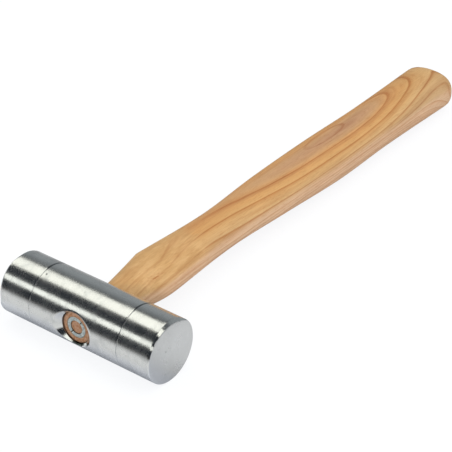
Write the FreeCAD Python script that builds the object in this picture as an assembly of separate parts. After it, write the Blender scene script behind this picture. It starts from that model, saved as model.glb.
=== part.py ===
import FreeCAD, Part
import math
import os

# Aluminium hammer with two screw-on striking faces and an ash handle, lying on its side.
# The model is made with the head's centre at the origin, the striking faces along Y,
# the handle along +X and the broad side up, and is then laid down on Z = 0.

# Head
head_diameter = 35.0
body_length = 58.0
face_length = 21.0
left_rim_chamfer = 1.4     # at the rim of the left striking face
right_rim_chamfer = 0.5    # narrower, as blows have spread this face over its bevel
seam_edge_round = 0.6      # on both edges of the seam between body and face

# Eye through the head body
tenon_diameter = 18.0
tenon_clearance = 0.05     # radial, between the tenon and the eye
tenon_recess = 3.9         # from the front of the head back to the end of the tenon
tenon_end_chamfer = 0.4
eye_mouth_half_angle = 45.0
eye_mouth_step = 0.6       # round part of the eye in front of the tenon's end, before the mouth opens
eye_back_chamfer = 2.0

# Round wedge driven into the end of the tenon
wedge_diameter = 11.8
wedge_wall = 2.1
wedge_length = 16.0
wedge_tip_wall = 0.8       # wall at the leading edge of the wedge
wedge_clearance = 0.05     # on each side of the wedge in its groove
wedge_slot_width = 0.5
wedge_slot_depth = 3.0
wedge_slot_direction = -51.0   # degrees from +Y towards +Z, seen along the handle
core_recess = 0.4          # the plug of wood inside the wedge stands this much lower

# Threaded studs that hold the striking faces
stud_diameter = 12.0
stud_root_diameter = 10.4
thread_pitch = 1.75
stud_reach_in_face = 13.0
stud_reach_in_body = 15.0
stud_end_chamfer = 1.0
thread_clearance = 0.06    # radial, round the thread crests
bore_end_clearance = 1.0   # free depth past the end of the stud
bore_mouth_chamfer = 0.8

# Handle: widths lie along the head, thicknesses across it
handle_reach = 326.0       # from the centre of the head to the end of the butt
flare_start = 15.0         # from the centre of the head to the root of the tenon
shoulder_place = 49.0      # from the centre of the head to the corner of the shoulder
shoulder_width = 30.7
shoulder_set = 0.25        # sideways, towards the left striking face
shoulder_thickness = 20.2
neck_width = 25.2
neck_thickness = 19.0
grip_width = 32.3
grip_thickness = 24.2
waist_width = 31.5
waist_thickness = 23.4
butt_width = 34.4
butt_thickness = 24.6
butt_dome_length = 9.0
grip_drift = 1.1           # sideways set of the grip, towards the right striking face

# Places of the sections between the shoulder and the rim of the butt
neck_place_share = 0.195
swell_place_share = 0.375
grip_place_share = 0.565
waist_place_share = 0.755
swell_width_share = 0.66
swell_thickness_share = 0.38

# The flare from the tenon to the shoulder is straight towards the left face and bulges towards the
# right one: share of its length, share of the whole gain in half width reached on the bulging side
flare_bulge = ((0.15, 0.25), (0.32, 0.56), (0.5, 0.82), (0.68, 0.975), (0.85, 1.03))

# Each quarter of a section is one curve: this share of the half size is its handle length
round_fullness_share = 0.5523
oval_fullness_share = 0.69
dome_angles = (24.0, 46.0, 64.0, 78.0, 87.0)
dome_power = 2.5

cut_overrun = 2.0

head_radius = head_diameter / 2
tenon_radius = tenon_diameter / 2
eye_radius = tenon_radius + tenon_clearance
body_half = body_length / 2
head_half = body_half + face_length
tenon_end = -(head_radius - tenon_recess)
rim_place = handle_reach - butt_dome_length
shaft_length = rim_place - shoulder_place
wedge_radius = wedge_diameter / 2
wedge_inner_radius = wedge_radius - wedge_wall
wedge_tip_radius = wedge_inner_radius + wedge_tip_wall
stud_radius = stud_diameter / 2
stud_root_radius = stud_root_diameter / 2
stud_bore_radius = stud_radius + thread_clearance
face_bore_depth = stud_reach_in_face + bore_end_clearance

along_handle = FreeCAD.Vector(1, 0, 0)
along_head = FreeCAD.Vector(0, 1, 0)
origin = FreeCAD.Vector(0, 0, 0)


def point(x, y, z):
    return FreeCAD.Vector(x, y, z)


def lathe(outline, axis):
    """Turned solid from a closed outline of (place along the axis, radius) pairs."""
    across = FreeCAD.Vector(0, 0, 1)
    corners = [axis * place + across * radius for place, radius in outline]
    wire = Part.makePolygon(corners + [corners[0]])
    return Part.Face(wire).revolve(origin, axis, 360)


def whole(shape):
    """The one solid that a cut or a fusion leaves."""
    return shape.Solids[0]


def oval(place, width, thickness, drift, fullness):
    """Closed section across the handle: four equal curves, each over a quarter turn."""
    centre = point(place, drift, 0)
    side = point(0, width / 2, 0)
    top = point(0, 0, thickness / 2)
    quarters = ((side, top), (top, -side), (-side, -top), (-top, side))
    edges = []
    for start, end in quarters:
        curve = Part.BezierCurve()
        leans = (start, start + end * fullness, end + start * fullness, end)
        curve.setPoles([centre + lean for lean in leans])
        edges.append(curve.toShape())
    return Part.Wire(edges)


def between(low, high, share):
    return low + (high - low) * share


# Handle
def shaft_place(share):
    return shoulder_place + shaft_length * share


def shaft_sections():
    """Sections from the shoulder to the rim of the butt."""
    swell_width = between(neck_width, grip_width, swell_width_share)
    swell_thickness = between(neck_thickness, grip_thickness, swell_thickness_share)
    stations = (
        (shaft_place(0), shoulder_width, shoulder_thickness, shoulder_set),
        (shaft_place(neck_place_share), neck_width, neck_thickness, 0),
        (shaft_place(swell_place_share), swell_width, swell_thickness, 0),
        (shaft_place(grip_place_share), grip_width, grip_thickness, -grip_drift),
        (shaft_place(waist_place_share), waist_width, waist_thickness, -grip_drift),
        (rim_place, butt_width, butt_thickness, -grip_drift),
    )
    return [oval(*station, oval_fullness_share) for station in stations]


def dome_sections():
    """Sections that close in from the rim of the butt to its end."""
    sections = [oval(rim_place, butt_width, butt_thickness, -grip_drift, oval_fullness_share)]
    for angle in dome_angles:
        shrink = math.cos(math.radians(angle)) ** (2 / dome_power)
        rise = math.sin(math.radians(angle)) ** (2 / dome_power)
        place = rim_place + butt_dome_length * rise
        width = butt_width * shrink
        thickness = butt_thickness * shrink
        sections.append(oval(place, width, thickness, -grip_drift, oval_fullness_share))
    return sections


def tenon_sections():
    """Round tenon with a bevelled end."""
    end_diameter = tenon_diameter - 2 * tenon_end_chamfer
    bevel_end = tenon_end + tenon_end_chamfer
    return [
        oval(tenon_end, end_diameter, end_diameter, 0, round_fullness_share),
        oval(bevel_end, tenon_diameter, tenon_diameter, 0, round_fullness_share),
        oval(flare_start, tenon_diameter, tenon_diameter, 0, round_fullness_share),
    ]


def flare_sections():
    """Sections from the round tenon out to the oval shoulder."""
    bulging_gain = shoulder_width / 2 - shoulder_set - tenon_radius
    straight_gain = shoulder_width / 2 + shoulder_set - tenon_radius
    sections = []
    for share, gained in ((0, 0),) + flare_bulge + ((1, 1),):
        bulging = tenon_radius + bulging_gain * gained
        straight = tenon_radius + straight_gain * share
        place = between(flare_start, shoulder_place, share)
        thickness = between(tenon_diameter, shoulder_thickness, share)
        fullness = between(round_fullness_share, oval_fullness_share, share)
        sections.append(oval(place, bulging + straight, thickness, (straight - bulging) / 2, fullness))
    return sections


def make_handle():
    tenon = Part.makeLoft(tenon_sections(), True, True)
    flare = Part.makeLoft(flare_sections(), True, False)
    shaft = Part.makeLoft(shaft_sections(), True, False)
    dome = Part.makeLoft(dome_sections(), True, False)
    wood = tenon.fuse([flare, shaft, dome])
    groove = lathe((
        (tenon_end - cut_overrun, wedge_inner_radius - wedge_clearance),
        (tenon_end - cut_overrun, wedge_radius + wedge_clearance),
        (tenon_end, wedge_radius + wedge_clearance),
        (tenon_end + wedge_length, wedge_tip_radius + wedge_clearance),
        (tenon_end + wedge_length, wedge_inner_radius - wedge_clearance),
    ), along_handle)
    core_cut = Part.makeCylinder(wedge_inner_radius, core_recess + cut_overrun,
                                 point(tenon_end - cut_overrun, 0, 0), along_handle)
    return whole(wood.cut([groove, core_cut]))


# Wedge
def make_ring_wedge():
    ring = lathe((
        (tenon_end, wedge_inner_radius),
        (tenon_end, wedge_radius),
        (tenon_end + wedge_length, wedge_tip_radius),
        (tenon_end + wedge_length, wedge_inner_radius),
    ), along_handle)
    slot = Part.makeBox(wedge_slot_depth + cut_overrun, wedge_diameter + cut_overrun, wedge_slot_width)
    slot.translate(point(tenon_end - cut_overrun, -(wedge_diameter + cut_overrun) / 2, -wedge_slot_width / 2))
    slot.rotate(origin, along_handle, wedge_slot_direction)
    return whole(ring.cut(slot))


# Head body
def eye_mouth():
    """Flared mouth of the eye, from just before the tenon out to the front of the head."""
    depth = tenon_recess - eye_mouth_step + cut_overrun
    spread = depth * math.tan(math.radians(eye_mouth_half_angle))
    return Part.makeCone(eye_radius + spread, eye_radius, depth, point(-head_radius - cut_overrun, 0, 0), along_handle)


def rim_edges(shape, place):
    """Round edges of a turned piece at one place along the head."""
    rounds = [edge for edge in shape.Edges if edge.Curve.TypeId == "Part::GeomCircle"]
    return [edge for edge in rounds if abs(edge.CenterOfMass.y - place) < seam_edge_round / 2]


def stud_bore(mouth, depth, side):
    """Bore for a stud, from its mouth back into the metal, with a bevelled mouth."""
    mouth_radius = stud_bore_radius + bore_mouth_chamfer
    return lathe((
        (mouth - side * cut_overrun, 0),
        (mouth - side * cut_overrun, mouth_radius),
        (mouth, mouth_radius),
        (mouth + side * bore_mouth_chamfer, stud_bore_radius),
        (mouth + side * depth, stud_bore_radius),
        (mouth + side * depth, 0),
    ), along_head)


def make_head_body():
    body = Part.makeCylinder(head_radius, body_length, point(0, -body_half, 0), along_head)
    seam_rims = rim_edges(body, -body_half) + rim_edges(body, body_half)
    body = body.makeFillet(seam_edge_round, seam_rims)
    eye = Part.makeCylinder(eye_radius, head_diameter + cut_overrun,
                            point(-head_radius - cut_overrun / 2, 0, 0), along_handle)
    back_depth = eye_back_chamfer + cut_overrun
    back = Part.makeCone(eye_radius, eye_radius + back_depth, back_depth,
                         point(head_radius - eye_back_chamfer, 0, 0), along_handle)
    left_bore = stud_bore(body_half, stud_reach_in_body, -1)
    right_bore = stud_bore(-body_half, stud_reach_in_body, 1)
    cuts = [eye, eye_mouth(), back, left_bore, right_bore]
    return whole(body.cut(cuts))


# Striking faces
def make_striking_face(side, rim_chamfer):
    seam = side * body_half
    end = side * head_half
    blank = Part.makeCylinder(head_radius, face_length, point(0, min(seam, end), 0), along_head)
    blank = blank.makeFillet(seam_edge_round, rim_edges(blank, seam))
    blank = blank.makeChamfer(rim_chamfer, rim_edges(blank, end))
    return whole(blank.cut(stud_bore(seam, face_bore_depth, side)))


# Studs
def make_face_stud(side):
    """Stud with a row of thread ridges, from inside the body out into the face."""
    seam = side * body_half
    inner = seam - side * stud_reach_in_body
    outer = seam + side * stud_reach_in_face
    length = stud_reach_in_body + stud_reach_in_face
    outline = [(inner, 0), (inner, stud_radius - stud_end_chamfer)]
    threads = int((length - 2 * stud_end_chamfer) / thread_pitch)
    plain = (length - threads * thread_pitch) / 2
    for turn in range(threads):
        start = inner + side * (plain + turn * thread_pitch)
        outline.append((start, stud_root_radius))
        outline.append((start + side * thread_pitch / 2, stud_radius))
    outline.append((inner + side * (plain + threads * thread_pitch), stud_root_radius))
    outline.append((outer, stud_root_radius))
    outline.append((outer, 0))
    return lathe(outline, along_head)


def laying_angle(handle):
    """Turn about the head's own axis that brings the butt down to the table."""
    angle = 0
    for correction in range(3):
        turned = handle.copy()
        turned.rotate(origin, along_head, angle)
        gap = head_radius + turned.optimalBoundingBox().ZMin
        angle += math.degrees(gap / handle_reach)
    return angle


nodes = {
    "handle": make_handle(),
    "ring_wedge": make_ring_wedge(),
    "head_body": make_head_body(),
    "left_striking_face": make_striking_face(1, left_rim_chamfer),
    "right_striking_face": make_striking_face(-1, right_rim_chamfer),
    "left_face_stud": make_face_stud(1),
    "right_face_stud": make_face_stud(-1),
}

# Laid down: the head and the rim of the butt both meet Z = 0
table_angle = laying_angle(nodes["handle"])
for shape in nodes.values():
    shape.rotate(origin, along_head, table_angle)
box = Part.makeCompound(list(nodes.values())).optimalBoundingBox()
shift = point(-box.Center.x, 0, head_radius)

os.makedirs("parts", exist_ok=True)
for name, shape in nodes.items():
    shape.translate(shift)
    shape.exportStep("parts/" + name + ".step")
    found = shape.optimalBoundingBox()
    print(name, shape.ShapeType, len(shape.Solids), shape.isValid(), round(shape.Volume, 1),
          [round(v, 3) for v in (found.XMin, found.YMin, found.ZMin, found.XMax, found.YMax, found.ZMax)])
print("laying angle", round(table_angle, 4), "shift", shift)
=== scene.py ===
import bpy
import bmesh
import math
from mathutils import Matrix, Vector, noise


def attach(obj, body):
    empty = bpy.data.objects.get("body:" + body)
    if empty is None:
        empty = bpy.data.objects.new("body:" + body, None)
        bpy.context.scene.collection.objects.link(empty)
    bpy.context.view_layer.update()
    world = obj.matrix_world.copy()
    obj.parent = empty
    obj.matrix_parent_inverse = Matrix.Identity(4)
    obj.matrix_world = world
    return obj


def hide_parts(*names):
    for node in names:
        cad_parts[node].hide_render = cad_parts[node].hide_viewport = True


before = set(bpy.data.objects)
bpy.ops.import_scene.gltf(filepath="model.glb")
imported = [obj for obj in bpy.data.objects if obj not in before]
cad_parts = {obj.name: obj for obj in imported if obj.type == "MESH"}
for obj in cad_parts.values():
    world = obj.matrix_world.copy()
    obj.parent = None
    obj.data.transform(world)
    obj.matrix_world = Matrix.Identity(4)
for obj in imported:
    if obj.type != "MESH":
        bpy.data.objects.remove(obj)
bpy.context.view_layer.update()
print("frame loaded:", ", ".join(sorted(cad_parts)))

# Pieces are modelled in millimetres with the centre of the head at the origin, the striking
# faces along Y and the handle along +X, and are then laid down on the table.
laying = {"turn": 0.9273, "headCentre": (-0.1542363, 0.0, 0.0175), "unit": 0.001}
toTable = (Matrix.Translation(laying["headCentre"])
           @ Matrix.Rotation(math.radians(laying["turn"]), 4, "Y")
           @ Matrix.Scale(laying["unit"], 4))

for old in [o for o in bpy.data.objects if o.type in {"LIGHT", "CAMERA"}]:
    bpy.data.objects.remove(old)


# Modelling helpers
def link(name, mesh):
    piece = bpy.data.objects.new(name, mesh)
    bpy.context.scene.collection.objects.link(piece)
    return piece


def cleanUp(bm, distance=0.002):
    bmesh.ops.remove_doubles(bm, verts=bm.verts, dist=distance)
    bmesh.ops.dissolve_degenerate(bm, edges=bm.edges, dist=distance)
    bmesh.ops.recalc_face_normals(bm, faces=bm.faces)


def turn(outline, axis="Y", steps=360, closed=False):
    # a turned shape from (place along the axis, radius) pairs, in millimetres
    bm = bmesh.new()
    along = Vector((0, 1, 0)) if axis == "Y" else Vector((1, 0, 0))
    across = Vector((0, 0, 1))
    points = [bm.verts.new(along * place + across * radius) for place, radius in outline]
    pairs = list(zip(points, points[1:]))
    if closed:
        pairs.append((points[-1], points[0]))
    edges = [bm.edges.new(pair) for pair in pairs]
    bmesh.ops.spin(bm, geom=points + edges, axis=along, angle=math.tau,
                   steps=steps, use_merge=True)
    cleanUp(bm)
    return bm


def rows(start, end, pitch):
    # places from start to end, both included, about one pitch apart
    count = max(1, round(abs(end - start) / pitch))
    return [start + (end - start) * i / count for i in range(count + 1)]


def smoothRow(place, table):
    # smooth curve through rows of numbers, the first of which is the place
    i = max(j for j in range(len(table) - 1) if table[j][0] <= place + 1e-6)
    before, start, end, after = (table[max(i - 1, 0)], table[i], table[i + 1],
                                 table[min(i + 2, len(table) - 1)])
    span = end[0] - start[0]
    t = (place - start[0]) / span
    values = []
    for k in range(1, len(start)):
        leave = (end[k] - before[k]) / (end[0] - before[0]) * span
        arrive = (after[k] - start[k]) / (after[0] - start[0]) * span
        values.append((2 * t**3 - 3 * t**2 + 1) * start[k] + (t**3 - 2 * t**2 + t) * leave
                      + (3 * t**2 - 2 * t**3) * end[k] + (t**3 - t**2) * arrive)
    return values


def corner(place, radius, size, start, end, steps=5):
    # points round a small rounding on a turned outline, angles in degrees from the axis
    angles = [math.radians(start + (end - start) * i / steps) for i in range(steps + 1)]
    return [(place + size * math.cos(a), radius + size * math.sin(a)) for a in angles]


def cutAway(piece, bm, name):
    # takes a closed shape away from a piece
    mesh = bpy.data.meshes.new(name)
    bm.to_mesh(mesh)
    bm.free()
    tool = link(name, mesh)
    cut = piece.modifiers.new(name, "BOOLEAN")
    cut.operation = "DIFFERENCE"
    cut.solver = "EXACT"
    cut.object = tool
    bpy.context.view_layer.update()
    done = bpy.data.meshes.new_from_object(piece.evaluated_get(bpy.context.evaluated_depsgraph_get()))
    piece.modifiers.clear()
    piece.data = done
    bpy.data.objects.remove(tool)


def finishPiece(piece, body, node, material, sharpAngle=32, trueNormals=None):
    # smooth faces with crisp edges, laid on the table and riding on its body
    mesh = piece.data
    mesh.materials.clear()
    mesh.materials.append(material)
    mesh.shade_smooth()
    mesh.set_sharp_from_angle(angle=math.radians(sharpAngle))
    if trueNormals:
        normals = [Vector(n.vector) for n in mesh.corner_normals]
        for face in mesh.polygons:
            corners = [mesh.vertices[mesh.loops[i].vertex_index].co for i in face.loop_indices]
            for i, normal in zip(face.loop_indices, trueNormals(corners) or []):
                normals[i] = normal
        mesh.normals_split_custom_set(normals)
    mesh.transform(toTable)
    mesh.update()
    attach(piece, body)
    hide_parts(node)
    mesh.calc_loop_triangles()
    print("made", piece.name, len(mesh.loop_triangles), "triangles")


def fromBmesh(name, bm):
    mesh = bpy.data.meshes.new(name)
    bm.to_mesh(mesh)
    bm.free()
    return link(name, mesh)


# Material helpers
def linear(hexColour):
    channels = [int(hexColour[i:i + 2], 16) / 255 for i in (1, 3, 5)]
    return tuple(c / 12.92 if c <= 0.04045 else ((c + 0.055) / 1.055) ** 2.4 for c in channels) + (1.0,)


def addNode(tree, kind, inputs=(), output=0, curve=(), handles="AUTO_CLAMPED", stops=(), **settings):
    # adds a node with its settings, sets or links its inputs in order or by name, gives one output
    made = tree.nodes.new("ShaderNode" + kind)
    for name, value in settings.items():
        setattr(made, name, value)
    for name, value in (inputs if isinstance(inputs, dict) else dict(enumerate(inputs))).items():
        if isinstance(value, bpy.types.NodeSocket):
            tree.links.new(value, made.inputs[name])
        else:
            made.inputs[name].default_value = value
    for i, spot in enumerate(curve):
        points = made.mapping.curves[0].points
        point = points[i] if i < 2 else points.new(*spot)
        point.location = spot
        point.handle_type = handles
    if curve:
        made.mapping.update()
    for i, (place, colour) in enumerate(stops):
        elements = made.color_ramp.elements
        element = elements[i] if i < 2 else elements.new(place)
        element.position = place
        element.color = colour
    return made.outputs[output] if made.outputs else made


# settings that many nodes share
eased = {"interpolation_type": "SMOOTHSTEP"}
inColour = {"output": 2, "data_type": "RGBA"}
tinting = {**inColour, "blend_type": "MULTIPLY"}
asLength = {"output": "Value", "operation": "LENGTH"}


def newMaterial(name):
    material = bpy.data.materials.new(name)
    material.use_nodes = True
    material.node_tree.nodes.clear()
    return material, material.node_tree


def hammerPlace(tree):
    # the hammer's own millimetres: head centre at the origin, handle along +X
    return addNode(tree, "Mapping", {
        "Vector": addNode(tree, "TexCoord", output="Object"), "Location": laying["headCentre"],
        "Rotation": (0, math.radians(laying["turn"]), 0), "Scale": (laying["unit"],) * 3},
        vector_type="TEXTURE")


# Camera, where the photographer stood
view = {
    "location": (-0.645089, -0.460311, 0.506569),
    "turn": (56.96139, 0.02873, -52.53285),
    "lens": 130.5505,
    "sensor": 36.0,
}
lens = bpy.data.cameras.new("camera")
lens.lens = view["lens"]
lens.sensor_width = view["sensor"]
lens.sensor_fit = "HORIZONTAL"
lens.clip_start = 0.01
lens.clip_end = 50
camera = link("camera", lens)
camera.location = view["location"]
camera.rotation_euler = [math.radians(a) for a in view["turn"]]
bpy.context.scene.camera = camera
bpy.context.scene.view_settings.view_transform = "Standard"
print("camera placed")

# Studio: two long soft boxes lie along the head, one above it and one towards the camera. Round
# them bends a dark card, which only the metal mirrors and which draws the dark lines on the head.
studio = {
    "distance": 1.0,
    "boxes": (
        # name, angle round the head from the handle's side, width, near end, far end, radiance, tint
        ("top box", 79.5, 0.669, -1.7, 2.0, 1.10, "#FFFFF2"),
        ("front box", 144.7, 0.305, -1.8, 2.0, 1.10, "#FDFFF5"),
    ),
    "fillNear": 1.0,           # light of the white room on wood and floor, from the camera's side
    "fillFar": 0.35,           # and from behind the hammer
    "fillTint": "#FBFDFF",
    "cardRadius": 1.5,
    "cardEnd": 5.0,
    "cardDark": "#25292E",
    "cardPale": "#8E9394",     # beyond the handle the card is paler
    "cardPaleFrom": 0.62,      # metres from the head's axis along X
    "cardPaleTo": 1.5,
    "floorBounce": 0.8,        # paper under the hammer, as it lights the wood
    "floorSeen": 0.16,         # as the camera sees it, with the glow added
    "floorGlow": 0.89,
    "floorMirrorGlow": 0.2,
    "floorTint": "#FBFCFE",
    "floorNearShadeTint": "#EEF2FE",  # painted cool shade, as the metal mirrors it close to the head
    "floorFrontEnd": (-0.20, -0.09),  # towards the camera it is dark for the metal beyond this
    "floorReach": 0.3,
    "floorMirrored": (         # painted reflection, as the metal mirrors it: metres from the head along X, brightness
        (-0.30, 0.0), (-0.173, 0.10), (-0.124, 0.29), (-0.075, 0.51), (-0.057, 0.56), (-0.035, 0.55),
        (-0.023, 0.60), (-0.016, 0.51), (-0.009, 0.485), (0.0, 0.44), (0.02, 0.53), (0.05, 0.48),
        (0.107, 0.38), (0.21, 0.30),
    ),
}
head = Vector(laying["headCentre"])

for name, angle, width, near, far, radiance, tint in studio["boxes"]:
    box = bpy.data.lights.new(name, "AREA")
    box.shape = "RECTANGLE"
    box.size = width
    box.size_y = far - near
    box.energy = radiance * math.pi * width * (far - near)
    box.color = linear(tint)[:3]
    light = link(name, box)
    a = math.radians(angle)
    light.location = head + Vector((math.cos(a), 0, math.sin(a))) * studio["distance"]
    light.location.y = (near + far) / 2
    light.rotation_euler = (0, math.radians(90 - angle), 0)
    light.visible_camera = False

cardMesh = bmesh.new()
cardEnds = (-studio["cardEnd"], studio["cardEnd"])
edge = [cardMesh.verts.new(head + Vector((studio["cardRadius"], y, 0))) for y in cardEnds]
bmesh.ops.spin(cardMesh, geom=edge + [cardMesh.edges.new(edge)], cent=head, axis=(0, -1, 0),
               angle=math.pi, steps=48)
card = fromBmesh("card", cardMesh)
cardPaint, tree = newMaterial("dark card")
across = addNode(tree, "SeparateXYZ", (addNode(tree, "TexCoord", output="Object"),))
tone = addNode(tree, "MapRange", (across, head.x + studio["cardPaleFrom"], head.x + studio["cardPaleTo"]),
               **eased)
tone = addNode(tree, "Mix", {0: tone, 6: linear(studio["cardDark"]), 7: linear(studio["cardPale"])},
               **inColour)
addNode(tree, "OutputMaterial", {"Surface": addNode(tree, "Emission", (tone, 1.0))})
cardPaint.cycles.emission_sampling = "NONE"
card.data.materials.append(cardPaint)
card.visible_camera = False
card.visible_diffuse = False
card.visible_shadow = False

world = bpy.data.worlds.new("studio")
bpy.context.scene.world = world
world.use_nodes = True
world.cycles.sampling_method = "NONE"
tree = world.node_tree
tree.nodes.clear()
rays = addNode(tree, "LightPath").node.outputs
seen = addNode(tree, "Math", (rays["Is Camera Ray"], rays["Is Glossy Ray"]), operation="ADD", use_clamp=True)
seen = addNode(tree, "Math", (seen, rays["Is Transmission Ray"]), operation="ADD", use_clamp=True)
white = addNode(tree, "Background", ((1, 1, 1, 1), 1.0))
across = addNode(tree, "SeparateXYZ", (addNode(tree, "TexCoord", output="Generated"),), output=1)
strength = addNode(tree, "MapRange", (across, -1.0, 1.0, studio["fillNear"], studio["fillFar"]))
fill = addNode(tree, "Background", (linear(studio["fillTint"]), strength))
addNode(tree, "OutputWorld", {"Surface": addNode(tree, "MixShader", (seen, fill, white))})

# White paper floor: the camera sees it white, with the hammer's soft shadow. The metal mirrors a painted
# reflection: bright near the head and sinking away from it, with painted cool shade close to the head.
floorMesh = bmesh.new()
bmesh.ops.create_grid(floorMesh, x_segments=1, y_segments=1, size=6.0)
floor = fromBmesh("floor", floorMesh)
paper, tree = newMaterial("white paper")
rays = addNode(tree, "LightPath").node.outputs
across = addNode(tree, "SeparateXYZ", (addNode(tree, "TexCoord", output="Object"),))
front = addNode(tree, "MapRange", (across.node.outputs[1], *studio["floorFrontEnd"], 0.1, 1.0))
near = addNode(tree, "MapRange", (across, head.x - 0.036, head.x - 0.017))
past = addNode(tree, "MapRange", (across, head.x - 0.001, head.x + 0.006, 1.0, 0.3))
near = addNode(tree, "Math", (near, past), operation="MULTIPLY")
# painted cool shade close to the head, seen only in the metal
nearShadeTint = addNode(tree, "Mix", {0: near, 6: (1, 1, 1, 1), 7: linear(studio["floorNearShadeTint"])}, **inColour)
reach = studio["floorReach"]
across = addNode(tree, "MapRange", (across, head.x - reach, head.x + reach))
mirrored = addNode(tree, "FloatCurve", (1.0, across), curve=[
    ((place + reach) / (2 * reach), bright) for place, bright in studio["floorMirrored"]])
mirrored = addNode(tree, "Math", (mirrored, front), operation="MULTIPLY")
mirroredGlow = addNode(tree, "Math", (mirrored, studio["floorMirrorGlow"]), operation="MULTIPLY")
mirrored = addNode(tree, "Mix", {0: mirrored, 6: (0, 0, 0, 1), 7: nearShadeTint}, **inColour)
shade = addNode(tree, "Mix", {0: rays["Is Glossy Ray"], 6: (studio["floorBounce"],) * 3 + (1,), 7: mirrored},
                **inColour)
shade = addNode(tree, "Mix", {0: rays["Is Camera Ray"], 6: shade, 7: (studio["floorSeen"],) * 3 + (1,)},
                **inColour)
matt = addNode(tree, "BsdfDiffuse", {"Color": shade})
glow = addNode(tree, "Math", (rays["Is Glossy Ray"], mirroredGlow), operation="MULTIPLY")
glow = addNode(tree, "Math", (rays["Is Camera Ray"], studio["floorGlow"], glow), operation="MULTIPLY_ADD")
glow = addNode(tree, "Emission", (linear(studio["floorTint"]), glow))
addNode(tree, "OutputMaterial", {"Surface": addNode(tree, "AddShader", (matt, glow))})
paper.cycles.emission_sampling = "NONE"
floor.data.materials.append(paper)
print("studio lit")

# Turned aluminium: bright metal straight from the lathe. The fine rings left by the tool run
# round the axis, so every reflection is sharp across them and drawn out along the head.
aluminiumLook = {
    "light": "#F5F6F7",
    "dull": "#DADDE0",
    "roughness": (0.23, 0.31),
    "anisotropy": 0.8,
    "ringPitch": 0.24,         # millimetres between tool marks, drawn coarser than the real 0.1
    "ringBump": 0.12,
    "waver": 0.021,            # how far single rings lean round the axis
    "polished": 0.13,          # roughness of the edges, burnished by use
    "seamShade": "#929597",    # painted shade in the seams on the handle's side
    "seamPlace": 29.0,
    "seamShadeReach": 0.9,
    "mouthShade": "#59625F",   # painted shade in the mouth of the eye below the tenon, standing in for the mirrored shaded tenon
    "mouthShadePlace": (-14.6, -3.4, -8.9),
    "mouthShadeReach": (2.0, 6.667, 1.818),
    "dents": (
        # place in millimetres, radius: one beside the left seam, one on the right striking face
        (-5.32, 26.58, 16.67, 0.6), (-3.99, -50.0, 2.12, 0.4),
    ),
}
look = aluminiumLook
turnedAluminium, tree = newMaterial("turned aluminium")
place = hammerPlace(tree)
x, y, z = addNode(tree, "SeparateXYZ", (place,)).node.outputs
fromAxis = addNode(tree, "CombineXYZ", {0: x, 2: z})
radius = addNode(tree, "VectorMath", (fromAxis,), **asLength)
outward = addNode(tree, "VectorMath", (fromAxis,), operation="NORMALIZE")
# distance along the turned outline, so the rings follow side, chamfer and striking face
track = addNode(tree, "Math", (y, radius), operation="ADD")
ring = addNode(tree, "Math", (track, look["ringPitch"]), operation="DIVIDE")
swept = addNode(tree, "VectorMath", {0: outward, "Scale": 1.3}, operation="SCALE")
swept = addNode(tree, "SeparateXYZ", (swept,)).node.outputs
ringPlace = addNode(tree, "CombineXYZ", (swept[0], ring, swept[2]))
rings = addNode(tree, "TexNoise", {"Vector": ringPlace, "Scale": 1.0, "Detail": 3.0, "Roughness": 0.6})
# smears from handling, a few millimetres wide
smears = addNode(tree, "TexNoise", {
    "Vector": place, "Scale": 0.14, "Detail": 5.0, "Roughness": 0.62, "Distortion": 0.6})
# there are fewer of them on the flat striking faces
trueNormal = addNode(tree, "NewGeometry", output="Normal")
facing = addNode(tree, "VectorMath", (trueNormal, (0, 1, 0)), output="Value", operation="DOT_PRODUCT")
facing = addNode(tree, "Math", (facing,), operation="ABSOLUTE")
flat = addNode(tree, "MapRange", (facing, 0.9, 0.98))
clean = addNode(tree, "Math", (flat, 0.75), operation="MULTIPLY")
smears = addNode(tree, "Mix", {0: clean, 2: smears, 3: 0.47})
dull = addNode(tree, "MapRange", (smears, 0.48, 0.72, 0.0, 0.5), **eased)
colour = addNode(tree, "Mix", {0: dull, 6: linear(look["light"]), 7: linear(look["dull"])}, **inColour)
ringShade = addNode(tree, "MapRange", (rings, 0.3, 0.7, 0.93, 1.0))
colour = addNode(tree, "Mix", {0: 1.0, 6: colour, 7: ringShade}, **tinting)
rough = addNode(tree, "MapRange", (smears, 0.3, 0.7, *look["roughness"]), **eased)
# hair-thin scuffs, drawn a quarter of a millimetre wide so that they show
scuff = addNode(tree, "TexNoise", {
    "Vector": place, "Scale": 0.16, "Detail": 3.0, "Roughness": 0.55, "Distortion": 1.2})
scuff = addNode(tree, "Math", (scuff, 0.5), operation="SUBTRACT")
scuff = addNode(tree, "Math", (scuff,), operation="ABSOLUTE")
scuff = addNode(tree, "MapRange", (scuff, 0.008, 0.0))
worn = addNode(tree, "MapRange", (smears, 0.46, 0.6), **eased)
scuff = addNode(tree, "Math", (scuff, worn), operation="MULTIPLY")
scuffShade = addNode(tree, "MapRange", (scuff, 0.0, 1.0, 1.0, 0.8))
colour = addNode(tree, "Mix", {0: 1.0, 6: colour, 7: scuffShade}, **tinting)
rough = addNode(tree, "Math", (scuff, 0.12, rough), operation="MULTIPLY_ADD")
# painted shade darkens the seams on the handle's side
seamShaded = addNode(tree, "Math", (y,), operation="ABSOLUTE")
seamShaded = addNode(tree, "Math", (seamShaded, look["seamPlace"]), operation="SUBTRACT")
seamShaded = addNode(tree, "Math", (seamShaded,), operation="ABSOLUTE")
seamShaded = addNode(tree, "MapRange", (seamShaded, look["seamShadeReach"], 0.1), **eased)
handleSide = addNode(tree, "MapRange", (x, -4.0, 0.0, 0.0, 1.0), **eased)
seamShaded = addNode(tree, "Math", (seamShaded, handleSide), operation="MULTIPLY")
colour = addNode(tree, "Mix", {0: seamShaded, 6: colour, 7: linear(look["seamShade"])}, **tinting)
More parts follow.
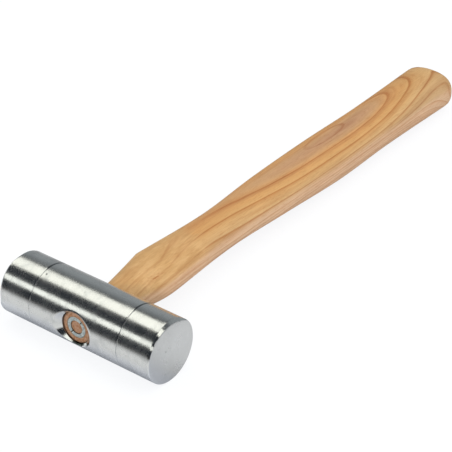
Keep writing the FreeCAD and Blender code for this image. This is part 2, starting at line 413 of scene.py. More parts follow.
# painted shade in the mouth of the eye, below the tenon
inMouth = addNode(tree, "VectorMath", (place, look["mouthShadePlace"]), operation="SUBTRACT")
inMouth = addNode(tree, "VectorMath", (inMouth, look["mouthShadeReach"]), operation="DIVIDE")
inMouth = addNode(tree, "VectorMath", (inMouth,), **asLength)
inMouth = addNode(tree, "MapRange", (inMouth, 1.0, 0.75), **eased)
fromEye = addNode(tree, "VectorMath", (addNode(tree, "CombineXYZ", {1: y, 2: z}),), **asLength)
fromEye = addNode(tree, "MapRange", (fromEye, 9.9, 9.6), **eased)
inMouth = addNode(tree, "Math", (inMouth, fromEye), operation="MULTIPLY")
colour = addNode(tree, "Mix", {0: inMouth, 6: colour, 7: linear(look["mouthShade"])}, **tinting)
outFacing = addNode(tree, "VectorMath", (trueNormal, outward), output="Value", operation="DOT_PRODUCT")
plain = addNode(tree, "MapRange", (outFacing, 0.9, 0.98))
plain = addNode(tree, "Math", (plain, flat), operation="MAXIMUM")
rough = addNode(tree, "Mix", {0: plain, 2: look["polished"], 3: rough})
dented = 0.0
for *spot, size in look["dents"]:
    away = addNode(tree, "VectorMath", (place, spot), output="Value", operation="DISTANCE")
    near = addNode(tree, "MapRange", (away, size, size * 0.3), **eased)
    dented = addNode(tree, "Math", (near, dented), operation="MAXIMUM")
dentShade = addNode(tree, "MapRange", (dented, 0.0, 1.0, 1.0, 0.35))
colour = addNode(tree, "Mix", {0: 1.0, 6: colour, 7: dentShade}, **tinting)
# each ring leans a little differently, which frays the edges of the reflections
leanPlace = addNode(tree, "VectorMath", (ringPlace, (3.5, 0.9, 3.5)), operation="MULTIPLY")
lean = addNode(tree, "TexNoise", {"Vector": leanPlace, "Scale": 1.0, "Detail": 2.0, "Roughness": 0.7})
lean = addNode(tree, "MapRange", (lean, 0.0, 1.0, -look["waver"], look["waver"]), clamp=False)
roundHead = addNode(tree, "VectorMath", ((0, 1, 0), outward), operation="CROSS_PRODUCT")
shift = addNode(tree, "VectorMath", {0: roundHead, "Scale": lean}, operation="SCALE")
leaning = addNode(tree, "VectorMath", (trueNormal, shift), operation="ADD")
leaning = addNode(tree, "VectorMath", (leaning,), operation="NORMALIZE")
bump = addNode(tree, "Bump", {
    "Height": rings, "Strength": look["ringBump"], "Distance": 0.0001, "Normal": leaning})
bump = addNode(tree, "Bump", {
    "Height": dented, "Strength": 1.0, "Distance": 0.0002, "Normal": bump}, invert=True)
# highlights are drawn out across the rings
drawn = addNode(tree, "VectorMath", (trueNormal, roundHead), operation="CROSS_PRODUCT")
addNode(tree, "OutputMaterial", {"Surface": addNode(tree, "BsdfPrincipled", {
    "Base Color": colour, "Metallic": 1.0, "Roughness": rough, "Normal": bump,
    "Anisotropic": look["anisotropy"], "Tangent": drawn})})


def steel(name, look):
    # steel with an uneven skin of darker and lighter patches
    made, tree = newMaterial(name)
    skin = addNode(tree, "TexNoise", {
        "Vector": hammerPlace(tree), "Scale": look["scale"], "Detail": look["detail"],
        "Roughness": look["raggedness"]})
    share = addNode(tree, "MapRange", (skin, *look["patches"]), **eased)
    colour = addNode(tree, "Mix", {0: share, 6: linear(look["dark"]), 7: linear(look["light"])}, **inColour)
    rough = addNode(tree, "MapRange", (skin, 0.3, 0.7, *look["roughness"]))
    bump = addNode(tree, "Bump", {"Height": skin, "Strength": look["bump"], "Distance": 0.0001})
    addNode(tree, "OutputMaterial", {"Surface": addNode(tree, "BsdfPrincipled", {
        "Base Color": colour, "Metallic": 1.0, "Roughness": rough, "Normal": bump})})
    return made


# Drawn steel of the ring wedge, dulled: pale and bluish, with blurred reflections and fine pits
wedgeLook = {"light": "#DEE6E6", "dark": "#A3AEAE", "roughness": (0.42, 0.42), "scale": 0.9, "detail": 6.0,
             "raggedness": 0.7, "patches": (0.36, 0.6), "bump": 0.35}
wedgeSteel = steel("drawn steel", wedgeLook)

# Rolled steel of the studs, lightly oiled: dark, with a slightly uneven sheen
studLook = {"light": "#A7A8AA", "dark": "#7B7D80", "roughness": (0.24, 0.38), "scale": 0.6, "detail": 5.0,
            "raggedness": 0.65, "patches": (0.35, 0.65), "bump": 0.15}
studSteel = steel("rolled steel", studLook)

# Sanded ash under a thin clear varnish: satin, warm and pale. The growth rings run round a wandering
# pith line; the shaped handle cuts them into loops on the broad side and straight lines on the
# narrow one. Each ring starts with a dark porous line and fades outwards into pale dense wood.
ashLook = {
    # the pith line: powers of the distance from the middle of the handle, taken as 1 at its ends
    "pithAcross": (0.439, -9.653, 12.686, 26.386, -15.554, -16.164),
    "pithAbove": (7.984, 9.132, -10.368, -17.628, 9.962, 1.444),
    "pithMiddle": 170.0,
    "pithHalf": 156.0,
    "pithStart": 48.0,         # nearer the head it runs straight
    "flattened": 1.468,        # the rings are closer to each other upwards than sideways
    "ringReach": 34.0,
    "rings": (
        # distance from the pith in millimetres, how dark the line is
        (1.4, 0.5), (3.2, 0.5), (7.95, 0.9), (12.26, 1.0), (16.3, 0.95), (18.62, 0.7),
    ),
    "ringSpacing": 1.5,        # of all other rings
    "ringDark": 0.65,
    "ringProfile": (
        # share of the way to the next ring, how dark
        (0.0, 1.0), (0.06, 0.88), (0.15, 0.42), (0.34, 0.16), (0.72, 0.04), (0.93, 0.0), (0.97, 0.5),
        (1.0, 1.0),
    ),
    # the shaped top just touches one more ring, which shows as a small loop
    "loopPlace": (207.0, 2.35, 0.0),
    "loopHalf": (19.5, 4.25),
    "loopDark": 0.75,
    "tones": (
        # distance from the pith in millimetres, colour of the dense wood there
        (4.0, "#CA9E7A"), (6.0, "#CEA174"), (7.6, "#D6A26B"), (10.0, "#D8A367"), (12.6, "#D9A96E"),
        (16.0, "#D8AE79"), (18.6, "#CFA97A"), (22.0, "#CDA983"),
    ),
    "line": "#DCBEA4",         # multiplies the colour along the dark lines
    "edge": "#E4BD9A",         # pinker wood on the narrow sides, also painted lighter there for the weaker light they get
    "neckPale": "#DCB17B",
    "neckDark": "#D3A56D",
    "endGrain": "#C0967A",
    "endStreak": "#A2693F",
    "tenonShade": "#5F4129",        # painted shade in the gap round the end of the tenon and round its core
    "eyeGrimeAndShade": "#B4BCC4",     # the wood is greyed by hands and dirt where it leaves the head, and painted shade darkens it beside the head
    "torn": "#B4763F",
    "tornPlace": (36.4, -10.2, 8.8),
    "tornTurn": -9.2,
    "wander": 0.1,             # millimetres
    "roughness": (0.42, 0.56),
}
look = ashLook
ash, tree = newMaterial("sanded ash")
place = hammerPlace(tree)
slow = addNode(tree, "VectorMath", (place, (0.02, 0.08, 0.08)), operation="MULTIPLY")
wander = addNode(tree, "TexNoise", {"Vector": slow, "Scale": 1.0, "Detail": 3.0}, output=1)
wander = addNode(tree, "VectorMath", (wander, (0.5, 0.5, 0.5)), operation="SUBTRACT")
wander = addNode(tree, "VectorMath", {0: wander, "Scale": 4 * look["wander"]}, operation="SCALE")
wandered = addNode(tree, "VectorMath", (place, wander), operation="ADD")
x, y, z = addNode(tree, "SeparateXYZ", (wandered,)).node.outputs
along = addNode(tree, "Math", (x, look["pithStart"]), operation="MAXIMUM")
along = addNode(tree, "Math", (along, look["pithMiddle"]), operation="SUBTRACT")
along = addNode(tree, "Math", (along, look["pithHalf"]), operation="DIVIDE")
fromPith = []
for part, powers in ((y, look["pithAcross"]), (z, look["pithAbove"])):
    bend = powers[-1]
    for power in reversed(powers[:-1]):
        bend = addNode(tree, "Math", (bend, along, power), operation="MULTIPLY_ADD")
    fromPith.append(addNode(tree, "Math", (part, bend), operation="SUBTRACT"))
upwards = addNode(tree, "Math", (fromPith[1], look["flattened"]), operation="MULTIPLY")
fromPith = addNode(tree, "CombineXYZ", (fromPith[0], upwards))
radius = addNode(tree, "VectorMath", (fromPith,), **asLength)
reached = addNode(tree, "Math", (radius, look["ringReach"]), operation="DIVIDE")
rings = list(look["rings"])
rings += [(rings[-1][0] + look["ringSpacing"] * i, look["ringDark"]) for i in range(1, 10)]
passed = addNode(tree, "FloatCurve", (1.0, reached), handles="VECTOR", curve=[
    (distance / look["ringReach"], i / len(rings)) for i, (distance, dark) in enumerate(rings)])
dark = addNode(tree, "FloatCurve", (1.0, reached), handles="VECTOR", curve=[
    (distance / look["ringReach"], dark) for distance, dark in rings])
share = addNode(tree, "Math", (passed, float(len(rings))), operation="MULTIPLY")
share = addNode(tree, "Math", (share,), operation="FRACT")
early = addNode(tree, "FloatCurve", (1.0, share), curve=look["ringProfile"])
early = addNode(tree, "Math", (early, dark), operation="MULTIPLY")
# the rings run out towards the far side of the grip
farSide = addNode(tree, "MapRange", (y, 3.0, 6.5), **eased)
onGrip = addNode(tree, "MapRange", (x, 268.0, 250.0), **eased)
farSide = addNode(tree, "Math", (farSide, onGrip), operation="MULTIPLY")
farSide = addNode(tree, "MapRange", (farSide, 0.0, 1.0, 1.0, 0.25))
early = addNode(tree, "Math", (early, farSide), operation="MULTIPLY")
loop = addNode(tree, "VectorMath", (wandered, look["loopPlace"]), operation="SUBTRACT")
loop = addNode(tree, "VectorMath", (loop, (1 / look["loopHalf"][0], 1 / look["loopHalf"][1], 0)),
               operation="MULTIPLY")
loop = addNode(tree, "VectorMath", (loop,), **asLength)
loop = addNode(tree, "FloatCurve", (1.0, addNode(tree, "Math", (loop, 0.5), operation="MULTIPLY")), curve=(
    (0.0, 0.06), (0.3, 0.12), (0.42, 0.3), (0.49, 1.0), (0.52, 0.8), (0.58, 0.0), (1.0, 0.0)))
loopTop = addNode(tree, "MapRange", (z, 5.0, 9.0, 0.0, look["loopDark"]))
loopFade = addNode(tree, "MapRange", (x, 184.0, 198.0, 0.3, 1.0))
loop = addNode(tree, "Math", (loop, loopTop), operation="MULTIPLY")
loop = addNode(tree, "Math", (loop, loopFade), operation="MULTIPLY")
early = addNode(tree, "Math", (early, loop), operation="MAXIMUM")
# soft clouds of colour a few centimetres long
cloudPlace = addNode(tree, "VectorMath", (wandered, (0.05, 0.2, 0.2)), operation="MULTIPLY")
cloud = addNode(tree, "TexNoise", {"Vector": cloudPlace, "Scale": 1.0, "Detail": 4.0, "Roughness": 0.6})
# towards the head the grain turns cloudy and its lines blur
neck = addNode(tree, "Math", (cloud, 30.0, x), operation="MULTIPLY_ADD")
neck = addNode(tree, "MapRange", (neck, 100.0, 88.0), **eased)
blur = addNode(tree, "MapRange", (neck, 0.0, 1.0, 1.0, 0.45))
early = addNode(tree, "Math", (early, blur), operation="MULTIPLY")
# fibres a third of a millimetre wide and about a centimetre long, and thin dark pores
fibrePlace = addNode(tree, "VectorMath", (wandered, (0.09, 3.0, 3.0)), operation="MULTIPLY")
fibre = addNode(tree, "TexNoise", {"Vector": fibrePlace, "Scale": 1.0, "Detail": 4.0, "Roughness": 0.65})
porePlace = addNode(tree, "VectorMath", (wandered, (0.2, 3.6, 3.6)), operation="MULTIPLY")
pore = addNode(tree, "TexNoise", {"Vector": porePlace, "Scale": 1.0, "Detail": 1.0})
pore = addNode(tree, "MapRange", (pore, 0.6, 0.7), **eased)
colour = addNode(tree, "ValToRGB", (reached,), stops=[
    (distance / look["ringReach"], linear(tone)) for distance, tone in look["tones"]])
neckShare = addNode(tree, "MapRange", (cloud, 0.38, 0.62), **eased)
neckColour = addNode(tree, "Mix", {0: neckShare, 6: linear(look["neckDark"]), 7: linear(look["neckPale"])},
                     **inColour)
colour = addNode(tree, "Mix", {0: neck, 6: colour, 7: neckColour}, **inColour)
normal = addNode(tree, "Mapping", {
    "Vector": addNode(tree, "TexCoord", output="Normal"),
    "Rotation": (0, math.radians(laying["turn"]), 0)}, vector_type="TEXTURE")
nx, ny, nz = addNode(tree, "SeparateXYZ", (normal,)).node.outputs
# the narrow sides and underside get the pinker wood, painted lighter as well to make up for the weaker light
# on them
steep = addNode(tree, "MapRange", (nz, 0.48, 0.08, 0.0, 0.85), **eased)
colour = addNode(tree, "Mix", {0: steep, 6: colour, 7: linear(look["edge"])}, **inColour)
fleck = addNode(tree, "MapRange", (cloud, 0.3, 0.7, 0.96, 1.04))
colour = addNode(tree, "Mix", {0: 1.0, 6: colour, 7: fleck}, **tinting)
colour = addNode(tree, "Mix", {0: early, 6: colour, 7: linear(look["line"])}, **tinting)
# faint bands a millimetre or two wide that follow the rings
bandAlong = addNode(tree, "Math", (x, 0.012), operation="MULTIPLY")
bandAcross = addNode(tree, "Math", (y, 0.06), operation="MULTIPLY")
bandOutward = addNode(tree, "Math", (radius, 0.75), operation="MULTIPLY")
bandPlace = addNode(tree, "CombineXYZ", (bandAlong, bandAcross, bandOutward))
band = addNode(tree, "TexNoise", {"Vector": bandPlace, "Scale": 1.0, "Detail": 4.0, "Roughness": 0.65})
band = addNode(tree, "MapRange", (band, 0.42, 0.66, 0.0, 0.45), **eased)
colour = addNode(tree, "Mix", {0: band, 6: colour, 7: linear(look["line"])}, **tinting)
fibreShade = addNode(tree, "MapRange", (fibre, 0.3, 0.7, 0.92, 1.08))
colour = addNode(tree, "Mix", {0: 1.0, 6: colour, 7: fibreShade}, **tinting)
poreShade = addNode(tree, "Math", (pore, 0.5), operation="MULTIPLY")
colour = addNode(tree, "Mix", {0: poreShade, 6: colour, 7: linear(look["line"])}, **tinting)
# a patch of torn grain beside the shoulder
tornPlace = addNode(tree, "Mapping", {
    "Vector": place, "Location": look["tornPlace"], "Rotation": (0, 0, math.radians(look["tornTurn"]))},
    vector_type="TEXTURE")
# one split seven millimetres long, with short ragged fibres round it
split = addNode(tree, "VectorMath", (tornPlace, (0.27, 1.7, 0.3)), operation="MULTIPLY")
split = addNode(tree, "VectorMath", (split,), **asLength)
rag = addNode(tree, "TexNoise", {
    "Vector": addNode(tree, "VectorMath", (tornPlace, (0.5, 2.4, 1.0)), operation="MULTIPLY"),
    "Scale": 1.0, "Detail": 3.0, "Roughness": 0.7})
split = addNode(tree, "Math", (rag, -2.0, split), operation="MULTIPLY_ADD")
split = addNode(tree, "MapRange", (split, 0.0, -0.5, 0.0, 0.85), **eased)
ragged = addNode(tree, "VectorMath", (tornPlace, (0.12, 0.36, 0.3)), operation="MULTIPLY")
ragged = addNode(tree, "VectorMath", (ragged,), **asLength)
ragged = addNode(tree, "MapRange", (ragged, 1.0, 0.5, 0.0, 0.6), **eased)
rag = addNode(tree, "MapRange", (rag, 0.52, 0.6), **eased)
ragged = addNode(tree, "Math", (ragged, rag), operation="MULTIPLY")
torn = addNode(tree, "Math", (split, ragged), operation="MAXIMUM")
colour = addNode(tree, "Mix", {0: torn, 6: colour, 7: linear(look["torn"])}, **inColour)
# dirt greys the wood where it leaves the head; a wider band beside the head gets painted shade, where the
# head keeps light off
greyed = addNode(tree, "Math", (z, 0.6, x), operation="MULTIPLY_ADD")
headShadeBand = addNode(tree, "Math", (y, 0.8, greyed), operation="MULTIPLY_ADD")
headShadeBand = addNode(tree, "MapRange", (headShadeBand, 28.0, 21.0, 0.0, 0.2), **eased)
greyed = addNode(tree, "MapRange", (greyed, 20.0, 15.0), **eased)
greyed = addNode(tree, "Math", (greyed, headShadeBand), operation="MAXIMUM")
colour = addNode(tree, "Mix", {0: greyed, 6: colour, 7: linear(look["eyeGrimeAndShade"])}, **tinting)
# end grain at the tenon and the butt, browner and dotted with pores
onEnd = addNode(tree, "Math", (nx,), operation="ABSOLUTE")
onEnd = addNode(tree, "MapRange", (onEnd, 0.75, 0.98, 0.0, 0.9), **eased)
dots = addNode(tree, "TexNoise", {"Vector": place, "Scale": 0.75, "Detail": 3.0, "Roughness": 0.7})
dots = addNode(tree, "MapRange", (dots, 0.42, 0.6), **eased)
# the butt is sanded finer than the sawn tenon
sawn = addNode(tree, "MapRange", (x, 0.0, 60.0, 1.0, 0.3))
dots = addNode(tree, "Math", (dots, sawn), operation="MULTIPLY")
endColour = addNode(tree, "Mix", {0: dots, 6: linear(look["endGrain"]), 7: linear(look["endStreak"])},
                    **inColour)
endColour = addNode(tree, "Mix", {0: early, 6: endColour, 7: linear(look["line"])}, **tinting)
colour = addNode(tree, "Mix", {0: onEnd, 6: colour, 7: endColour}, **inColour)
# painted shade: a dark line in the gap round the end of the tenon and in the groove round its core,
# strongest low down towards the left striking face
px, py, pz = addNode(tree, "SeparateXYZ", (place,)).node.outputs
fromMiddle = addNode(tree, "VectorMath", (addNode(tree, "CombineXYZ", (py, pz)),), **asLength)
atRim = addNode(tree, "MapRange", (fromMiddle, 7.7, 8.6), **eased)
fromGroove = addNode(tree, "Math", (fromMiddle, 4.0), operation="SUBTRACT")
fromGroove = addNode(tree, "Math", (fromGroove,), operation="ABSOLUTE")
atCore = addNode(tree, "MapRange", (fromGroove, 0.8, 0.3), **eased)
atRim = addNode(tree, "Math", (atRim, atCore), operation="MAXIMUM")
nearTop = addNode(tree, "MapRange", (px, -12.0, -13.0), **eased)
tenonShaded = addNode(tree, "Math", (atRim, nearTop), operation="MULTIPLY")
oneSide = addNode(tree, "Math", (pz, -0.7, py), operation="MULTIPLY_ADD")
oneSide = addNode(tree, "MapRange", (oneSide, -3.0, 5.0, 0.2, 1.0), **eased)
tenonShaded = addNode(tree, "Math", (tenonShaded, oneSide), operation="MULTIPLY")
colour = addNode(tree, "Mix", {0: tenonShaded, 6: colour, 7: linear(look["tenonShade"])}, **inColour)
height = addNode(tree, "Math", (early, -0.5, fibre), operation="MULTIPLY_ADD")
height = addNode(tree, "Math", (torn, -2.0, height), operation="MULTIPLY_ADD")
bump = addNode(tree, "Bump", {"Height": height, "Strength": 0.35, "Distance": 0.00008})
smooth, coarse = look["roughness"]
addNode(tree, "OutputMaterial", {"Surface": addNode(tree, "BsdfPrincipled", {
    "Base Color": colour, "Roughness": addNode(tree, "MapRange", (fibre, 0.3, 0.7, coarse, smooth)),
    "Normal": bump, "IOR": 1.5, "Specular IOR Level": 0.4})})
print("materials mixed")

# Head body
headShape = {
    "radius": 17.5,
    "bodyHalf": 29.0,
    "seamRound": 0.6,
    "seamRelief": 0.09,        # both rims stand this far back, so that a thin line shows at the seam
    "reliefRadius": 15.5,
    "boreRadius": 6.06,
    "boreMouth": 0.8,
    "bodyBore": 15.0,
    "rowPitch": 1.0,
    "eyeRowPitch": 0.5,
    "eyeReach": 15.0,
    "grooveRadius": 6.5,       # outside of the female thread
    "tapRadius": 5.9,          # a little inside the bore, so that the cutter leaves its crests
    "tapChamfer": 0.6,
    "bodyTap": 13.5,           # how deep the threads reach
    "faceTap": 12.5,
    "pitch": 1.75,
    "endPitch": 3.0,           # between the rings of the hidden end faces
}
eyeShape = {
    "radius": 9.05,
    "tenonEnd": -13.6,
    "mouthAngle": 45.0,
    "coneStart": -14.2,        # the tenon ends a little inside the round bore
    "backChamfer": 2.0,
    "softWidth": 0.9,          # how far the polished edge of the mouth rolls into the surface
    "softSlope": 0.3,
    "softFrom": -9.0,          # upwards from here it gets wider, over the height named next
    "softRise": 6.0,
}


def threadedRod(start, end, crest, root, pitch, chamfer, steps=48):
    # helical thread round the Y axis, one profile spun while it climbs by one pitch
    bm = bmesh.new()
    low = start + chamfer
    high = end - chamfer
    first = low - pitch * 1.5
    turns = math.ceil((high - first) / pitch) + 1
    shape = ((0.0, root), (0.2, root), (0.52, crest), (0.68, crest))
    corners = [(first + (turn + part) * pitch, r) for turn in range(turns) for part, r in shape]
    points = [bm.verts.new((0, place, r)) for place, r in corners]
    edges = [bm.edges.new(pair) for pair in zip(points, points[1:])]
    bmesh.ops.spin(bm, geom=points + edges, axis=(0, 1, 0), dvec=(0, pitch / steps, 0),
                   angle=math.tau, steps=steps)
    bmesh.ops.remove_doubles(bm, verts=bm.verts, dist=0.002)
    for place, outward in ((low, -1), (high, 1)):
        bmesh.ops.bisect_plane(bm, geom=bm.verts[:] + bm.edges[:] + bm.faces[:], dist=0.0001,
                               plane_co=(0, place, 0), plane_no=(0, outward, 0), clear_outer=True)
        rim = [e for e in bm.edges if e.is_boundary and all(abs(v.co.y - place) < 0.001 for v in e.verts)]
        grown = bmesh.ops.extrude_edge_only(bm, edges=rim)["geom"]
        tip = [v for v in grown if isinstance(v, bmesh.types.BMVert)]
        for v in tip:
            flat = Vector((v.co.x, 0, v.co.z)).normalized() * (root - chamfer * 0.6)
            v.co = Vector((flat.x, place + outward * chamfer, flat.z))
        bmesh.ops.contextual_create(bm, geom=[e for e in grown if isinstance(e, bmesh.types.BMEdge)])
    cleanUp(bm, 0.0005)
    return bm


def tap(start, end):
    shape = headShape
    return threadedRod(*sorted((start, end)), shape["grooveRadius"], shape["tapRadius"], shape["pitch"],
                       shape["tapChamfer"])


def seamEnd(boreDepth):
    # depth from the seam and radius, from the bottom of the bore out to the rounded rim at the seam
    shape = headShape
    bore = shape["boreRadius"]
    relief = shape["seamRelief"]
    soft = shape["seamRound"]
    points = [(boreDepth, 0), (boreDepth, bore), (shape["boreMouth"], bore)]
    points += [(0, radius) for radius in rows(bore + shape["boreMouth"], shape["reliefRadius"] - relief,
                                              shape["endPitch"])]
    points.append((relief, shape["reliefRadius"]))
    return points + corner(relief + soft, shape["radius"] - soft, soft, 180, 90)


def bodyOutline():
    shape = headShape
    half = shape["bodyHalf"]
    eye = shape["eyeReach"]
    plain = half - shape["seamRelief"] - shape["seamRound"]
    side = (rows(-plain, -eye, shape["rowPitch"])[1:] + rows(-eye, eye, shape["eyeRowPitch"])[1:]
            + rows(eye, plain, shape["rowPitch"])[1:-1])
    left = [(half - depth, radius) for depth, radius in seamEnd(shape["bodyBore"])]
    right = [(-place, radius) for place, radius in reversed(left)]
    return left + [(-place, shape["radius"]) for place in side] + right


def softenMouth(bm):
    # the mouth of the eye was polished on its upper side, so the surface rolls over towards it
    slope = math.tan(math.radians(eyeShape["mouthAngle"]))
    lean = math.cos(math.radians(eyeShape["mouthAngle"]))
    for v in bm.verts:
        if v.co.x > -10 or Vector((v.co.x, 0, v.co.z)).length < headShape["radius"] - 0.01:
            continue
        fromEye = math.hypot(v.co.y, v.co.z)
        cone = eyeShape["radius"] + (eyeShape["coneStart"] - v.co.x) * slope
        gap = (fromEye - cone) * lean
        widening = (v.co.z - eyeShape["softFrom"]) / eyeShape["softRise"]
        width = eyeShape["softWidth"] * min(1.0, max(0.01, widening))
        if gap < width:
            share = 1 - max(gap, -width) / width
            drop = 0.5 * eyeShape["softSlope"] * width * share * share
            inward = Vector((-v.co.x, 0, -v.co.z)).normalized()
            v.co += inward * drop


def sideNormals(corners):
    # exact normals on the plain turned side, so that its reflections run true
    radius = headShape["radius"]
    if any(abs(math.hypot(c.x, c.z) - radius) > 0.0015 for c in corners):
        return None
    return [Vector((c.x, 0, c.z)).normalized() for c in corners]


blank = turn(bodyOutline())
softenMouth(blank)
headBody = fromBmesh("body_turned", blank)
half = headShape["bodyHalf"]
overrun = 2.5
for side, name in ((1, "left tap"), (-1, "right tap")):
    cutAway(headBody, tap(side * (half - headShape["bodyTap"]), side * (half + overrun)), name)
mouth = headShape["radius"] + overrun
spread = (mouth + eyeShape["coneStart"]) * math.tan(math.radians(eyeShape["mouthAngle"]))
backStart = headShape["radius"] - eyeShape["backChamfer"]
cutAway(headBody, turn((
    (-mouth, 0), (-mouth, eyeShape["radius"] + spread), (eyeShape["coneStart"], eyeShape["radius"]),
    (backStart, eyeShape["radius"]), (mouth, eyeShape["radius"] + mouth - backStart), (mouth, 0),
), "X", 144), "eye cutter")
finishPiece(headBody, "hammer", "head_body", turnedAluminium, trueNormals=sideNormals)

# Striking faces
faceShape = {
    "length": 21.0,
    "bevel": {"left": 1.4, "right": 0.5},
    "rimRound": 0.12,
    "boreDepth": 14.0,
    "battered": 0.09,          # how far knocks have pushed the edges of the rim about
    # blows have worn the bevels: angle round the head from the handle's side, width of the bevel there
    "worn": {
        "left": ((0, 1.6), (50, 2.0), (98, 2.0), (115, 1.4), (185, 1.4), (198, 0.5), (240, 0.5), (300, 1.0),
                 (360, 1.6)),
        "right": ((0, 0.4), (42, 0.4), (58, 1.2), (75, 1.6), (115, 1.4), (140, 1.1), (160, 0.6), (178, 0.4),
                  (360, 0.4)),
    },
    "wornReach": 3.2,
    "knockScale": (0.35, 1.3),  # per millimetre: broad and fine knocks
    "flatPitch": 1.5,
}


def faceOutline(bevel):
    radius = headShape["radius"]
    length = faceShape["length"]
    soft = faceShape["rimRound"]
    start = headShape["seamRelief"] + headShape["seamRound"]
    shoulder = length - bevel
    flat = radius - bevel
    outer = [(place, radius) for place in rows(start, shoulder - soft, headShape["rowPitch"])[1:]]
    outer += [(shoulder + soft * 0.15, radius - soft * 0.35), (shoulder + soft * 0.7, radius - soft)]
    outer += [(shoulder + bevel * 0.5, radius - bevel * 0.5)]
    outer += [(length - soft, flat + soft * 0.7), (length - soft * 0.35, flat + soft * 0.15)]
    outer += [(length, r) for r in rows(flat - soft, 0, faceShape["flatPitch"])]
    return seamEnd(faceShape["boreDepth"]) + outer


def wearRim(bm, bevel, worn):
    # wears the bevel of a striking face and adds small knocks, each about two millimetres long
    end = headShape["bodyHalf"] + faceShape["length"]
    reach = faceShape["wornReach"]
    touched = bevel + faceShape["rimRound"] + 0.01
    broad, fine = faceShape["knockScale"]
    for v in bm.verts:
        away = Vector((v.co.x, 0, v.co.z))
        depths = (end - abs(v.co.y), headShape["radius"] - away.length)
        if max(depths) > reach:
            continue
        degrees = math.degrees(math.atan2(v.co.z, v.co.x)) % 360
        width = smoothRow(degrees, worn)[0]
        wider = width / bevel
        carried = touched * wider
        stretch = (reach - carried) / (reach - touched)
        back, inward = [d * wider if d < touched else carried + (d - touched) * stretch for d in depths]
        if max(depths) < touched and max(back, inward) > 0.05:
            knock = noise.noise(v.co * broad) + 0.3 * noise.noise(v.co * fine)
            knock = faceShape["battered"] * min(1.0, width / 1.4) * max(0.0, knock + 0.2)
            back += knock
            inward += knock * 0.4
        away = away.normalized() * (headShape["radius"] - inward)
        v.co = Vector((away.x, math.copysign(end - back, v.co.y), away.z))


for side, word in ((1, "left"), (-1, "right")):
    bevel = faceShape["bevel"][word]
    blank = turn([(side * (half + place), radius) for place, radius in faceOutline(bevel)])
    wearRim(blank, bevel, faceShape["worn"][word])
    face = fromBmesh(word + "_face_turned", blank)
    cutAway(face, tap(side * (half - overrun), side * (half + headShape["faceTap"])), word + " face tap")
    finishPiece(face, word + "_face", word + "_striking_face", turnedAluminium,
                trueNormals=sideNormals)

# Studs, which end just short of the bottom of the bores
studShape = {"crest": 6.0, "root": 5.2, "chamfer": 1.0, "inBody": 14.99, "inFace": 13.0}
thread = (studShape["crest"], studShape["root"], headShape["pitch"], studShape["chamfer"])
for side, word in ((1, "left"), (-1, "right")):
    reach = sorted((side * (half - studShape["inBody"]), side * (half + studShape["inFace"])))
    stud = fromBmesh(word + "_stud_threaded", threadedRod(*reach, *thread))
    finishPiece(stud, "hammer", word + "_face_stud", studSteel, sharpAngle=25)

# Ring wedge
wedgeShape = {"outer": 5.9, "inner": 3.8, "tip": 4.6, "length": 16.0, "burr": 0.12,
              "slotWidth": 0.5, "slotDepth": 3.0, "slotTurn": -51.0}
wedge = wedgeShape
top = eyeShape["tenonEnd"]
burr = wedge["burr"]
tipPlace = top + wedge["length"]
ringBlank = turn((
    (top, wedge["inner"] + burr), (top, wedge["outer"] - burr), (top + burr, wedge["outer"]),
    (tipPlace, wedge["tip"]), (tipPlace, wedge["inner"]), (top + burr, wedge["inner"]),
), "X", 96, closed=True)
ringWedge = fromBmesh("wedge_ring", ringBlank)
saw = bmesh.new()
bmesh.ops.create_cube(saw, size=1.0)
bmesh.ops.scale(saw, vec=((wedge["slotDepth"] + overrun), 20.0, wedge["slotWidth"]), verts=saw.verts)
bmesh.ops.translate(saw, vec=(top + (wedge["slotDepth"] - overrun) / 2, 0, 0), verts=saw.verts)
bmesh.ops.rotate(saw, cent=(0, 0, 0), matrix=Matrix.Rotation(math.radians(wedge["slotTurn"]), 3, "X"),
                 verts=saw.verts)
cutAway(ringWedge, saw, "slot saw")
finishPiece(ringWedge, "hammer", "ring_wedge", wedgeSteel)

# Handle
handleShape = {
    "tenonRadius": 9.0,
    "endBevel": 0.4,
    "endRadii": (0.6, 1.8, 7.3),  # rings on the sawn end, inside and outside the wedge
    "edgeRound": 0.1,
    "coreRecess": 0.4,
    "coreRound": 0.15,
    "grooveGap": 0.08,
    "flareStart": 15.0,
    # share of the flare's length, share of the gain in half width on its bulging side
    "flareBulge": (
        (0.0, 0.0), (0.15, 0.25), (0.32, 0.56), (0.5, 0.82), (0.68, 0.975), (0.85, 1.03), (1.0, 1.0),
    ),
    # place along the handle, half width, half thickness, sideways set
    "stations": (
        (49.0, 15.35, 10.1, 0.25),
        (101.26, 12.6, 9.5, 0.0),
        (149.5, 14.943, 10.488, 0.0),
        (200.42, 16.15, 12.1, -1.1),
        (251.34, 15.75, 11.7, -1.1),
        (317.0, 17.2, 12.3, -1.1),
    ),
    "roundFullness": 0.5523,
    "ovalFullness": 0.69,
    "domeLength": 9.0,
    "domePower": 2.5,
    "corners": 96,
    "rowPitch": 2.0,
}


def sectionPoint(turnShare, halfWidth, halfThickness, fullness):
    # a point on the closed section, which is four equal curves of a quarter turn
    quarter = int(turnShare * 4) % 4
    t = turnShare * 4 - int(turnShare * 4)
    near = (1 - t)**3 + 3 * (1 - t)**2 * t + 3 * (1 - t) * t**2 * fullness
    far = t**3 + 3 * (1 - t) * t**2 + 3 * (1 - t)**2 * t * fullness
    y, z = ((near, far), (-far, near), (-near, -far), (far, -near))[quarter]
    return y * halfWidth, z * halfThickness


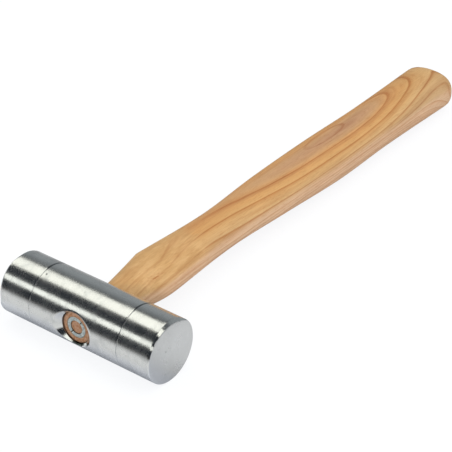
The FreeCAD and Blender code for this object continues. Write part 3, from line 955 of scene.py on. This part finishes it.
def handleRings():
    # every ring from the core of the tenon out, along the handle and in to the end of the butt
    shape = handleShape
    wedge = wedgeShape
    rounded = shape["roundFullness"]
    rings = []
    top = eyeShape["tenonEnd"]
    core = top + shape["coreRecess"]
    inner = wedge["inner"] - shape["grooveGap"]
    outer = wedge["outer"] + shape["grooveGap"]
    tip = wedge["tip"] + shape["grooveGap"]
    deep = top + wedge["length"]
    soft = shape["edgeRound"]
    *coreRadii, endRadius = shape["endRadii"]
    outline = [(core, radius) for radius in (*coreRadii, inner - shape["coreRound"])]
    outline += [(core + soft, inner), (deep, inner), (deep, tip), (top + soft, outer), (top, outer + soft)]
    outline += [(top, endRadius), (top, shape["tenonRadius"] - shape["endBevel"])]
    outline += [(top + shape["endBevel"], shape["tenonRadius"])]
    for place, radius in outline:
        rings.append((place, radius, radius, 0.0, rounded))
    for place in rows(top + shape["endBevel"], shape["flareStart"], shape["rowPitch"])[1:]:
        rings.append((place, shape["tenonRadius"], shape["tenonRadius"], 0.0, rounded))
    shoulder = shape["stations"][0]
    for place in rows(shape["flareStart"], shoulder[0], shape["rowPitch"])[1:-1]:
        t = (place - shape["flareStart"]) / (shoulder[0] - shape["flareStart"])
        gained = smoothRow(t, shape["flareBulge"])[0]
        bulging = shape["tenonRadius"] + (shoulder[1] - shoulder[3] - shape["tenonRadius"]) * gained
        straight = shape["tenonRadius"] + (shoulder[1] + shoulder[3] - shape["tenonRadius"]) * t
        thick = shape["tenonRadius"] + (shoulder[2] - shape["tenonRadius"]) * t
        rings.append((place, (bulging + straight) / 2, thick, (straight - bulging) / 2,
                      rounded + (shape["ovalFullness"] - rounded) * t))
    rim = shape["stations"][-1]
    for place in rows(shoulder[0], rim[0], shape["rowPitch"]):
        wide, thick, drift = smoothRow(place, shape["stations"])
        rings.append((place, wide, thick, drift, shape["ovalFullness"]))
    for degrees in (8, 16, 24, 32, 40, 48, 56, 64, 71, 77, 82, 86, 88.5):
        a = math.radians(degrees)
        shrink = math.cos(a) ** (2 / shape["domePower"])
        rise = math.sin(a) ** (2 / shape["domePower"])
        rings.append((rim[0] + shape["domeLength"] * rise, rim[1] * shrink, rim[2] * shrink, rim[3],
                      shape["ovalFullness"]))
    return rings


def makeHandle():
    count = handleShape["corners"]
    bm = bmesh.new()
    loop = bmesh.ops.create_circle(bm, cap_ends=False, radius=1.0, segments=count)["verts"]
    edges = bm.edges[:]
    rings = handleRings()
    first = True
    for place, wide, thick, drift, fullness in rings:
        if not first:
            grown = bmesh.ops.extrude_edge_only(bm, edges=edges)["geom"]
            new = {v for v in grown if isinstance(v, bmesh.types.BMVert)}
            edges = [e for e in grown if isinstance(e, bmesh.types.BMEdge) and set(e.verts) <= new]
            loop = [next(e.other_vert(v) for e in v.link_edges if e.other_vert(v) in new) for v in loop]
        for i, v in enumerate(loop):
            y, z = sectionPoint(i / count, wide, thick, fullness)
            v.co = (place, y + drift, z)
        if first:
            bmesh.ops.contextual_create(bm, geom=loop)
            edges = bm.edges[:]
            first = False
    bmesh.ops.contextual_create(bm, geom=loop)
    bmesh.ops.recalc_face_normals(bm, faces=bm.faces)
    return bm


handle = fromBmesh("handle_wood", makeHandle())
finishPiece(handle, "hammer", "handle", ash, sharpAngle=28)
